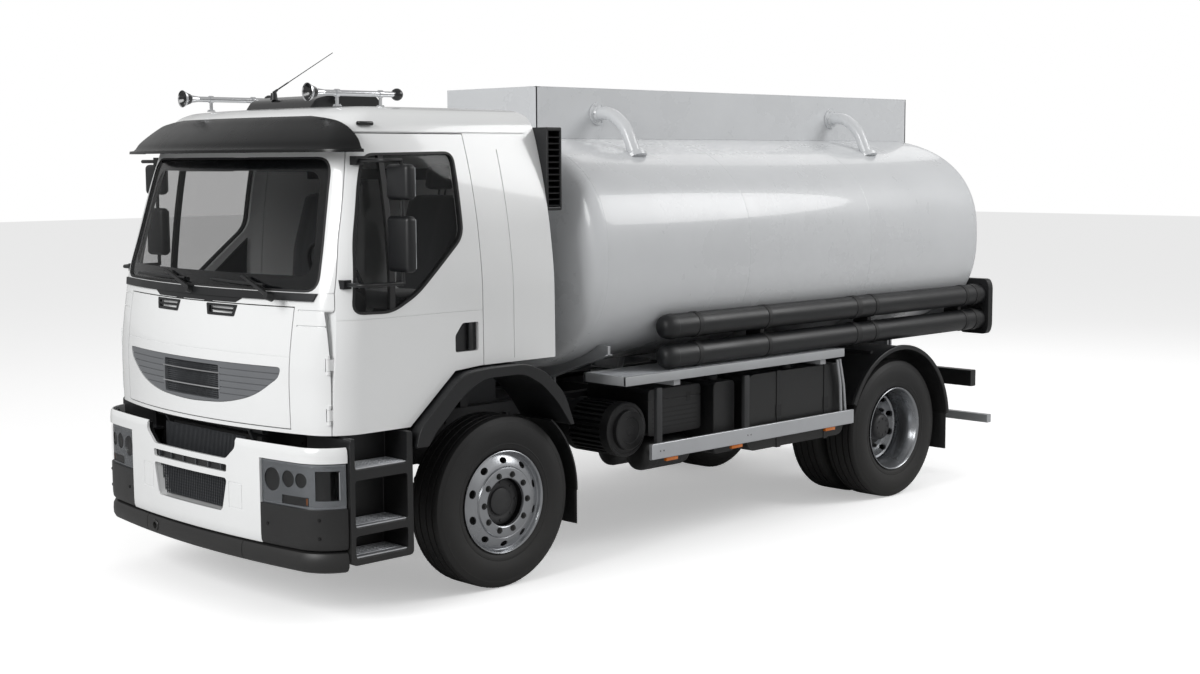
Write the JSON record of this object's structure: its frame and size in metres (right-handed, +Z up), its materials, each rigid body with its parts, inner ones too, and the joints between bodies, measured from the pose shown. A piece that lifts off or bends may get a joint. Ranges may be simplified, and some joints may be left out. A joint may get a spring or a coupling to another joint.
{
  "type": "tanker truck",
  "caption": "Two-axle rigid tanker truck with a tilting day cab, an oval tank with a top coaming, side hose tubes, catwalks and twin rear wheels.",
  "frame": {"origin": "on the ground, in the middle of the overall length and on the centreline", "axes": "+X forward, +Y to the truck's left, +Z up"},
  "size_m": [6.545, 2.714, 3.1576],
  "materials": {
    "chassis_paint": "satin dark grey chassis paint",
    "engine_grey": "cast housing",
    "white_paint": "gloss white cab paint",
    "black_plastic": "fine grained black plastic",
    "black_paint": "satin black paint",
    "steel_grey": "dull sheet steel",
    "lamp_glass": "clear lamp cover",
    "aluminium_sheet": "plain aluminium sheet",
    "tank_paint": "light grey satin paint",
    "tinted_glass": "lightly tinted safety glass",
    "chrome_trim": "chromed tube",
    "cabin_plastic": "grained cabin plastic",
    "seat_fabric": "woven seat cloth",
    "tyre_rubber": "tyre rubber",
    "rim_paint": "silver rim paint"
  },
  "bodies": {
    "chassis": {"frame_rails": "chassis_paint", "cross_members": "chassis_paint", "frame_brackets": "chassis_paint", "engine": "engine_grey", "front_axle": "chassis_paint", "rear_axle": "chassis_paint", "bumper": "white_paint", "bumper_trim": "black_plastic", "headlights": "lamp_glass", "cab_steps": "black_plastic", "mudguards": "black_plastic", "fuel_tanks": "black_paint", "air_cleaner": "black_paint", "battery_boxes": "black_plastic", "air_reservoirs": "black_paint", "silencer": "steel_grey", "catwalks": "aluminium_sheet", "guard_rails": "aluminium_sheet", "hose_tubes": "black_plastic", "rear_light_bar": "black_paint", "tank_barrel": "tank_paint", "tank_cradles": "aluminium_sheet", "tank_coaming": "aluminium_sheet", "manhole_collars": "aluminium_sheet", "tank_pipes": "aluminium_sheet", "rear_ladder": "aluminium_sheet"},
    "cab": {"cab_shell": "white_paint", "windscreen": "tinted_glass", "cowl": "black_plastic", "sun_visor": "black_plastic", "roof_hatch": "black_plastic", "horns": "chrome_trim", "dashboard": "cabin_plastic", "steering_wheel": "cabin_plastic", "seats": "seat_fabric", "rear_louvre": "black_plastic"},
    "front_flap": {"front_flap": "white_paint"},
    "door_left": {"door_left": "white_paint", "door_glass_left": "tinted_glass", "mirrors_left": "black_plastic"},
    "door_right": {"door_right": "white_paint", "door_glass_right": "tinted_glass", "mirrors_right": "black_plastic"},
    "manhole_lid_front": {"manhole_lid_front": "aluminium_sheet"},
    "manhole_lid_rear": {"manhole_lid_rear": "aluminium_sheet"},
    "knuckle_left": {"knuckle_left": "chassis_paint"},
    "knuckle_right": {"knuckle_right": "chassis_paint"},
    "tie_rod": {"tie_rod": "chassis_paint"},
    "wheel_front_left": {"tyre_front_left": "tyre_rubber", "rim_front_left": "rim_paint"},
    "wheel_front_right": {"tyre_front_right": "tyre_rubber", "rim_front_right": "rim_paint"},
    "wheel_rear_left": {"tyres_rear_left": "tyre_rubber", "rims_rear_left": "rim_paint"},
    "wheel_rear_right": {"tyres_rear_right": "tyre_rubber", "rims_rear_right": "rim_paint"}
  },
  "joints": [
    {"name": "cab_tilt", "type": "hinge", "parent": "chassis", "child": "cab", "pos_m": [3.1075, 0, 1.02], "axis": [0, 1, 0], "range_deg": [0, 50]},
    {"name": "front_flap_hinge", "type": "hinge", "parent": "cab", "child": "front_flap", "pos_m": [3.1855, 0, 1.728], "axis": [0, -1, 0], "range_deg": [0, 70]},
    {"name": "door_left_hinge", "type": "hinge", "parent": "cab", "child": "door_left", "pos_m": [3.0535, 1.082, 1.285], "axis": [0, 0, -1], "range_deg": [0, 65]},
    {"name": "door_right_hinge", "type": "hinge", "parent": "cab", "child": "door_right", "pos_m": [3.0535, -1.082, 1.285], "axis": [0, 0, 1], "range_deg": [0, 65]},
    {"name": "lid_front_hinge", "type": "hinge", "parent": "chassis", "child": "manhole_lid_front", "pos_m": [-0.3348, 0, 2.758], "axis": [0, -1, 0], "range_deg": [0, 100]},
    {"name": "lid_rear_hinge", "type": "hinge", "parent": "chassis", "child": "manhole_lid_rear", "pos_m": [-2.1702, 0, 2.758], "axis": [0, -1, 0], "range_deg": [0, 100]},
    {"name": "steer_left", "type": "hinge", "parent": "chassis", "child": "knuckle_left", "pos_m": [1.8475, 0.91, 0.51], "axis": [0, 0, 1], "range_deg": [-40, 40]},
    {"name": "steer_right", "type": "hinge", "parent": "chassis", "child": "knuckle_right", "pos_m": [1.8475, -0.91, 0.51], "axis": [0, 0, 1], "range_deg": [-40, 40]},
    {"name": "tie_rod_pivot", "type": "hinge", "parent": "knuckle_left", "child": "tie_rod", "pos_m": [1.6975, 0.91, 0.392], "axis": [0, 0, 1], "range_deg": [-40, 40]},
    {"name": "wheel_front_left_spin", "type": "hinge", "parent": "knuckle_left", "child": "wheel_front_left", "pos_m": [1.8475, 0.985, 0.51], "axis": [0, 1, 0], "continuous": true},
    {"name": "wheel_front_right_spin", "type": "hinge", "parent": "knuckle_right", "child": "wheel_front_right", "pos_m": [1.8475, -0.985, 0.51], "axis": [0, 1, 0], "continuous": true},
    {"name": "wheel_rear_left_spin", "type": "hinge", "parent": "chassis", "child": "wheel_rear_left", "pos_m": [-1.9525, 0.87, 0.51], "axis": [0, 1, 0], "continuous": true},
    {"name": "wheel_rear_right_spin", "type": "hinge", "parent": "chassis", "child": "wheel_rear_right", "pos_m": [-1.9525, -0.87, 0.51], "axis": [0, 1, 0], "continuous": true}
  ],
  "couplings": [
    {"joint": "steer_right", "follows": "steer_left", "ratio": 1},
    {"joint": "tie_rod_pivot", "follows": "steer_left", "ratio": -1}
  ]
}
